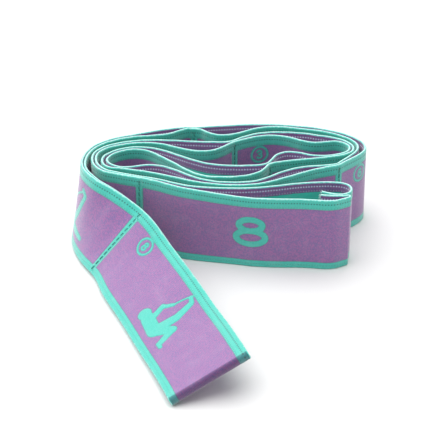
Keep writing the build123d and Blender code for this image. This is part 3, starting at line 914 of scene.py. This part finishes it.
TUCK_BACK, TUCK_LEFT = 3.2, 0.3
TUCK_LEFT_FROM, TUCK_LEFT_OVER = 48.0, 12.0


def settled(edges, tuck):
    """Edges of loop 8 with the lower one tucked back under it between the two x in tuck."""
    low, high = edges
    back = np.clip((low[:, 0] - tuck[0]) / (tuck[1] - tuck[0]), 0, 1)
    back = back * back * (3 - 2 * back)
    side = np.clip((low[:, 0] - TUCK_LEFT_FROM) / TUCK_LEFT_OVER, 0, 1)
    return low + np.stack([-TUCK_LEFT * side, TUCK_BACK * back, 0 * back], 1), high


(place, angle) = HEM_ENDS["face"]
face_hem = upright([vec(*place), (50.5, -4.6), closing_point(ONE, 0)], heading(angle), closing_ahead)
face_run = upright(
    [closing_point(ONE, 0), *ROUTES["loop_8_face"], seam_point("78", ONE, bend_78)], closing_ahead, ahead_78
)
hem_length = even(*face_hem)[2][-1]
edges = settled(joined(face_hem, face_run), (30.0, 50.0))
length = even(*edges)[2][-1]
digit_at = hem_length + DIGIT_FROM_SEAM[8]
items = [("small", 1, digit_at), ("drawing", 2, hem_length + 0.55 * (length - hem_length))]
piece = ribbon("loop_8_face_weave", edges, items, [hem_length, length - bend_78], seed=81)
finish_ribbon(piece, blend_78, ["loop_8_face", "loop_8_face_hem"])

number_run = upright(
    [corner + corner_reach, *ROUTES["loop_8_number"], seam_point("78", OTHER, bend_78)],
    -corner_ahead, ahead_78,
)
(place, angle) = HEM_ENDS["number"]
number_hem = upright(
    [vec(*place), (50.5, -6.9), (54.64, -6.98), corner - corner_reach], heading(angle), corner_ahead
)
turn = arc(CORNER_MIDDLE, CORNER_RADIUS, CORNER_HEADING - 90, CORNER_HEADING + 90)
turn_low = np.array([vec(*p) for p in turn])
edges = joined(backwards(number_run), (turn_low, turn_low + UP * WIDTH), backwards(number_hem))
edges = settled(edges, (-24.0, 8.0))
length = even(*edges)[2][-1]
items = [("big", 8, NUMBER_8_AT)]
piece = ribbon("loop_8_number_weave", edges, items, [bend_78, length - hem_length], seed=79)
finish_ribbon(piece, blend_78, ["loop_8_number", "loop_8_corner_fold", "loop_8_number_hem"])

# Loop 2 runs from seam 23, where it bends away from the coil, to its seam with loop 1.
seam_frame = frames[SEAM_INDEX]
before_bend = moved(seam_frame, HINGE_OFFSET - LEAN_SETBACK)
start_frame = (
    vec(x_23, y_23) + ahead_23 * (HINGE_OFFSET - HINGE_SETBACK), UP, ahead_23, right_of(ahead_23)
)
blend_23 = ("coil", "loop_2", at_frame(seam_point("23", 0, 0.3) + vec(0, 0, 20)),
            at_frame(seam_point("23", 0, 4.2) + vec(0, 0, 20)))
for layer, side in (("face", ONE), ("number", OTHER)):
    edges = leaning(
        [start_frame, *frames[:SEAM_INDEX], before_bend], [LAYER_PITCH / 2, *pitches[: SEAM_INDEX + 1]], side
    )
    length = even(*edges)[2][-1]
    gap, gap_12 = HINGE_OFFSET - HINGE_SETBACK, HINGE_OFFSET - LEAN_SETBACK
    if side == ONE:
        items = [("small", 7, DIGIT_FROM_SEAM[2] - gap), ("drawing", 0, DRAWING_2_AT)]
        seams = [-gap, length - gap_12]
    else:
        edges = backwards(edges)
        items = [("big", 2, length / 2)]
        seams = [gap_12, length + gap]
    piece = ribbon(f"loop_2_{layer}_weave", edges, items, seams, seed=20 + side)
    finish_ribbon(piece, blend_23, [f"loop_2_{layer}"])

# Loop 1: the face layer, the fold at its end and the number layer are one run of the band.
loop_1_frames = [before_bend, *frames[SEAM_INDEX + 1:]]
loop_1_pitches = pitches[SEAM_INDEX:]
face_1 = leaning(loop_1_frames, loop_1_pitches, ONE)
number_1 = backwards(leaning(loop_1_frames, loop_1_pitches, OTHER))
foot, up_end, ahead_end, out_end = frames[-1]
turn_low = np.array([
    foot + (ahead_end * abs(math.sin(a)) ** FOLD_SQUARE
            + out_end * math.copysign(abs(math.cos(a)) ** FOLD_SQUARE, math.cos(a))) * FOLD_HALF_PITCH
    for a in np.linspace(0, math.pi, 41)
])
edges = joined(face_1, (turn_low, turn_low + up_end * WIDTH), number_1)
length = even(*edges)[2][-1]
layer_1 = even(*face_1)[2][-1]
gap = HINGE_OFFSET - LEAN_SETBACK
items = [
    ("small", 8, DIGIT_FROM_SEAM[1] - gap), ("drawing", 1, DRAWING_1_AT),
    ("big", 1, length - 0.5 * layer_1),
]
fold_at = (layer_1 + length - even(*number_1)[2][-1]) / 2
# fold_at is the middle of the painted shade on the end fold's pressed front.
piece = ribbon("loop_1_weave", edges, items, [-gap, length + gap], seed=11, fold_shade_at=fold_at)
bend_12 = seam_frame[0] + seam_frame[1] * 20
flat_ahead = vec(seam_frame[2][0], seam_frame[2][1])
blend_12 = ("loop_2", "loop_1", at_frame(bend_12 + flat_ahead * 0.3), at_frame(bend_12 + flat_ahead * 4.2))
finish_ribbon(piece, blend_12, ["loop_1_face", "loop_1_number", "loop_1_end_fold"])


# ---------------------------------------------------------------- seams

STITCHES = 12
STITCH_MARGIN = 1.5
STITCH_GAP = 0.18  # left free at each end of a stitch
STITCH_SLANT = 0.16
STITCH_RISE, STITCH_DEPTH = 0.30, 0.42
STITCH_SQUARENESS = 1.7
THREAD = 0.23


def tube(path, radius, sides=7):
    """Rings of points and their faces for a yarn along a path."""
    path = np.asarray(path, float)
    ahead = unit(np.gradient(path, axis=0))
    reference = unit(np.cross(ahead, np.array([0.31, 0.22, 0.93])))
    other = np.cross(ahead, reference)
    run = np.concatenate([[0], np.cumsum(np.linalg.norm(np.diff(path, axis=0), axis=1))])
    radius = np.broadcast_to(radius, run.shape)
    points, faces = [], []
    for i in range(len(path)):
        for k in range(sides):
            a = 2 * math.pi * k / sides
            # Two plies twisted together.
            lobe = 1 + 0.16 * math.cos(2 * a + run[i] * 4.2)
            points.append(path[i] + (reference[i] * math.cos(a) + other[i] * math.sin(a)) * radius[i] * lobe)
    for i in range(len(path) - 1):
        for k in range(sides):
            m = (k + 1) % sides
            faces.append([i * sides + k, i * sides + m, (i + 1) * sides + m, (i + 1) * sides + k])
    faces.append(list(range(sides))[::-1])
    faces.append([(len(path) - 1) * sides + k for k in range(sides)])
    return points, faces


def mesh_piece(name, parts, material):
    points, faces = [], []
    for some_points, some_faces in parts:
        base = len(points)
        points += [tuple((p + SHIFT) * MM) for p in some_points]
        faces += [[base + i for i in face] for face in some_faces]
    mesh = bpy.data.meshes.new(name)
    mesh.from_pydata(points, [], faces)
    mesh.materials.append(material)
    mesh.polygons.foreach_set("use_smooth", np.ones(len(faces), bool))
    mesh.update()
    obj = bpy.data.objects.new(name, mesh)
    bpy.context.collection.objects.link(obj)
    return obj


def stitches(name, origin, up, along, outward, body, cad_node, seed):
    """One thread's row of stitches, each rising out of its hole and going down into the next."""
    rng = np.random.default_rng(seed)
    pitch = (WIDTH - 2 * STITCH_MARGIN) / STITCHES
    level = LAYER_PITCH / 2 + HALF_THICK
    parts = []
    for i in range(STITCHES):
        low = STITCH_MARGIN + i * pitch + STITCH_GAP
        high = STITCH_MARGIN + (i + 1) * pitch - STITCH_GAP
        slant = STITCH_SLANT + rng.uniform(-0.05, 0.05)
        rise = STITCH_RISE + rng.uniform(-0.03, 0.03)
        path = []
        for u in np.linspace(0, 1, 13):
            arch = min(1.0, math.sin(math.pi * u) * STITCH_SQUARENESS)
            lift = level - STITCH_DEPTH + (rise + STITCH_DEPTH) * arch
            path.append(
                origin + up * (low + (high - low) * u) + along * (slant * (u - 0.5) * 2)
                + outward * lift
            )
        parts.append(tube(path, THREAD))
    piece = mesh_piece(name, parts, materials["thread"])
    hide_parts(cad_node)
    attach(piece, body)


for number, (seam, ((x, y), angle)) in enumerate(SEAMS.items()):
    there = heading(angle)
    for layer, side in (("face", ONE), ("number", OTHER)):
        stitches(
            f"seam_{seam}_{layer}_stitches", vec(x, y), UP, there, right_of(there) * side, "coil",
            f"seam_{seam}_{layer}_thread", 100 + 2 * number + (side > 0),
        )
foot, up_12, ahead_12, out_12 = seam_frame
for layer, side in (("face", ONE), ("number", OTHER)):
    stitches(
        f"seam_12_{layer}_stitches", foot, up_12, ahead_12, out_12 * side, "loop_2",
        f"seam_12_{layer}_thread", 130 + (side > 0),
    )
for layer, side in (("face", OTHER), ("number", ONE)):
    stitches(
        f"closing_seam_{layer}_stitches", vec(*CLOSING_SEAM), UP, closing_ahead,
        right_of(closing_ahead) * side, "loop_8", f"closing_seam_{layer}_thread", 140 + (side > 0),
    )


FRAY_FIBRES = 150
FRAY_RADIUS = 0.075


def fray(ends):
    """Short loose fibres on the hem's cut ends. ends holds each end's foot and the way out of it."""
    rng = np.random.default_rng(881)
    parts = []
    for foot, away in ends:
        across = right_of(away)
        for _ in range(FRAY_FIBRES):
            root = foot + UP * (WIDTH * rng.uniform(0.01, 0.995) ** 0.8)
            root = root + across * rng.uniform(-0.45, 0.45) - away * 0.2
            lean = unit(away + across * rng.normal(0, 0.35) + UP * rng.normal(0.12, 0.25))
            curl = across * rng.normal(0, 0.3) + UP * rng.normal(0.05, 0.2)
            reach = rng.uniform(0.6, 1.9)
            path = [root + lean * (reach * u) + curl * (reach * u * u) for u in np.linspace(0, 1, 5)]
            parts.append(tube(path, FRAY_RADIUS, sides=4))
    return mesh_piece("loop_8_hem_fray", parts, materials["cut"])


hem_fray = fray([(vec(*place), -heading(angle)) for place, angle in HEM_ENDS.values()])
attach(hem_fray, "loop_8")


# ---------------------------------------------------------------- floor, light and camera

floor_mesh = bpy.data.meshes.new("floor")
floor_mesh.from_pydata([(-6, -6, 0), (6, -6, 0), (6, 6, 0), (-6, 6, 0)], [], [(0, 1, 2, 3)])
floor = bpy.data.objects.new("floor", floor_mesh)
bpy.context.collection.objects.link(floor)
floor_material, _, floor_shader = shader("floor_paper")
floor_shader.inputs["Base Color"].default_value = (0.70, 0.70, 0.70, 1)
floor_shader.inputs["Roughness"].default_value = 0.9
floor_mesh.materials.append(floor_material)

WORLD_STRENGTH = 0.62
SUN_STRENGTH, SUN_ANGLE, SUN_DIRECTION = 3.7, 85, (0.30, -0.16, -1.0)
FRONT_PLACE, FRONT_SIZE, FRONT_POWER = (0.5, -1.1, 0.7), 0.8, 0.5

world = bpy.data.worlds.new("studio")
bpy.context.scene.world = world
world.use_nodes = True
background = next(n for n in world.node_tree.nodes if n.type == "BACKGROUND")
background.inputs[0].default_value = (1.0, 1.0, 1.0, 1)
background.inputs[1].default_value = WORLD_STRENGTH

# One broad soft light from above, a little behind and to the left, as from a large overhead softbox.
sun = bpy.data.lights.new("overhead", "SUN")
sun.energy = SUN_STRENGTH
sun.angle = math.radians(SUN_ANGLE)
overhead = bpy.data.objects.new("overhead", sun)
overhead.location = (-0.4, 0.2, 1.5)
overhead.rotation_mode = "QUATERNION"
overhead.rotation_quaternion = Vector(SUN_DIRECTION).to_track_quat("-Z", "Y")
bpy.context.collection.objects.link(overhead)
front = bpy.data.lights.new("front", "AREA")
front.shape = "DISK"
front.size = FRONT_SIZE
front.energy = FRONT_POWER
front_lamp = bpy.data.objects.new("front", front)
front_lamp.location = FRONT_PLACE
front_lamp.rotation_mode = "QUATERNION"
front_lamp.rotation_quaternion = (-Vector(front_lamp.location)).to_track_quat("-Z", "Y")
bpy.context.collection.objects.link(front_lamp)

TARGET = Vector((SHIFT + np.array([0, 0, 20])) * MM)
LENS, DISTANCE, ELEVATION = 148.66, 0.895, 30.0
camera_data = bpy.data.cameras.new("camera")
camera_data.lens = LENS
camera_data.sensor_width = 36.0
camera = bpy.data.objects.new("camera", camera_data)
elevation = math.radians(ELEVATION)
camera.location = TARGET + Vector((0, -math.cos(elevation), math.sin(elevation))) * DISTANCE
camera.rotation_mode = "QUATERNION"
camera.rotation_quaternion = (TARGET - camera.location).to_track_quat("-Z", "Y")
bpy.context.collection.objects.link(camera)
bpy.context.scene.camera = camera
bpy.context.scene.view_settings.view_transform = "Standard"

bpy.context.view_layer.update()
